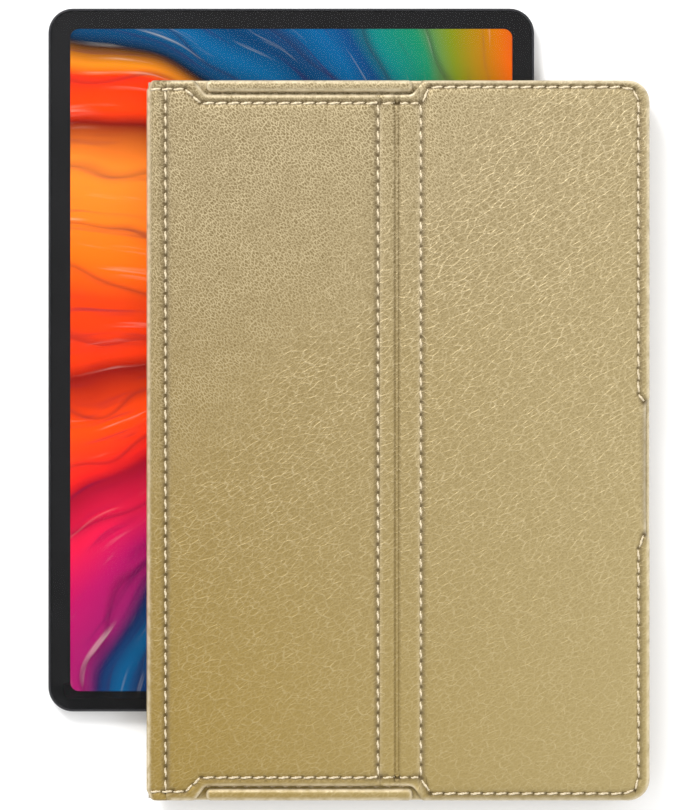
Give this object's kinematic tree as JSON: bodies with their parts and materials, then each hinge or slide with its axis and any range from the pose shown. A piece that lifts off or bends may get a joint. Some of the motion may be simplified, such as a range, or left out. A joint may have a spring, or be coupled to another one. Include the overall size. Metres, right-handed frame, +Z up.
{
  "type": "e-reader with folio cover",
  "caption": "Large thin e-reader lying face up, with its closed padded leather folio cover laid over it; the cover opens and its free half folds.",
  "frame": {"origin": "middle of the whole object's footprint, on the surface that the reader lies on", "axes": "+Z up from the table and out of the screen; +Y up the page along the long sides; +X right, from the folio's spine to its free edge"},
  "size_m": [0.2676, 0.3526, 0.0215],
  "materials": {
    "rear_case": "fine matte moulded back",
    "side_metal": "dark anodised, satin",
    "cover_glass": "etched anti-glare glass",
    "black_print": "black printed border",
    "clear_film": "clear film",
    "lamp": "small white lamps",
    "screen": "colour electronic paper showing an abstract picture",
    "foam": "black foam tape",
    "inner_metal": "cast magnesium alloy plate",
    "steel": "plain steel",
    "battery_foil": "laminated foil pouch",
    "flex": "amber film",
    "circuit_board": "green solder mask",
    "chip": "black moulding",
    "graphite": "graphite sheet",
    "speaker_box": "black plastic",
    "keys": "dark anodised, satin",
    "leather": "fine pebbled grain with a soft gold metallic finish",
    "board": "grey board",
    "lining": "short-nap microfibre",
    "magnet": "nickel-plated magnets"
  },
  "bodies": {
    "reader": {"rear_cover": "rear_case", "side_frame": "side_metal", "cover_glass": "cover_glass", "display_border": "black_print", "touch_film": "clear_film", "light_guide": "clear_film", "front_light_leds": "lamp", "display_panel": "screen", "display_gasket": "foam", "mid_frame": "inner_metal", "mid_frame_screws": "steel", "battery_cell_left": "battery_foil", "battery_cell_right": "battery_foil", "battery_flex": "flex", "mainboard": "circuit_board", "board_screws": "steel", "shield_cans": "steel", "processor": "chip", "heat_spreader": "graphite", "usb_board": "circuit_board", "usb_c_socket": "steel", "link_flex": "flex", "display_flex": "flex", "speakers": "speaker_box", "speaker_meshes": "steel", "microphones": "chip", "power_switch": "chip", "volume_switches": "chip", "key_flex": "flex"},
    "power_button": {"power_button": "keys"},
    "volume_rocker": {"volume_rocker": "keys"},
    "folio_back": {"back_leather": "leather", "back_board": "board", "back_lining": "lining", "pocket_wall_side": "leather", "pocket_wall_top": "leather", "pocket_wall_bottom": "leather", "frame_strip_right": "leather", "frame_strip_left": "leather", "frame_strip_top": "leather", "frame_strip_bottom": "leather", "rim_bar_top": "leather", "rim_bar_bottom": "leather", "keeper_magnets": "magnet"},
    "folio_spine": {"spine_leather": "leather", "spine_board": "board", "spine_lining": "lining", "spine_fold_lower": "leather", "spine_fold_upper": "leather"},
    "hinge_panel": {"spine_flap": "leather", "hinge_panel_leather": "leather", "hinge_panel_board": "board", "hinge_panel_lining": "lining", "fold_strip_inner": "leather"},
    "free_panel": {"fold_strip_outer": "leather", "free_panel_leather": "leather", "free_panel_board": "board", "free_panel_lining": "lining", "cover_magnets": "magnet"}
  },
  "joints": [
    {"name": "power_press", "type": "slide", "parent": "reader", "child": "power_button", "axis": [-1, 0, 0], "range_m": [0, 0.0003], "stiffness_N_per_m": 3000, "springref_m": -0.0002},
    {"name": "volume_tilt", "type": "hinge", "parent": "reader", "child": "volume_rocker", "pos_m": [0.08185, 0.0993, 0.0023], "axis": [0, 0, 1], "range_deg": [-1.3, 1.3], "stiffness_Nm_per_rad": 0.5},
    {"name": "folio_lift", "type": "slide", "parent": "reader", "child": "folio_back", "axis": [0, 0, 1], "range_m": [0, 0.12]},
    {"name": "spine_turn", "type": "hinge", "parent": "folio_back", "child": "folio_spine", "pos_m": [-0.08715, -0.0165, 0.00965], "axis": [0, -1, 0], "range_deg": [0, 90]},
    {"name": "cover_open", "type": "hinge", "parent": "folio_spine", "child": "hinge_panel", "pos_m": [-0.08715, -0.0165, 0.0191], "axis": [0, -1, 0], "range_deg": [0, 90]},
    {"name": "cover_fold", "type": "hinge", "parent": "hinge_panel", "child": "free_panel", "pos_m": [0.02185, -0.0165, 0.02055], "axis": [0, -1, 0], "range_deg": [0, 120]}
  ],
  "couplings": [
    {"joint": "spine_turn", "follows": "cover_open", "ratio": 1}
  ]
}
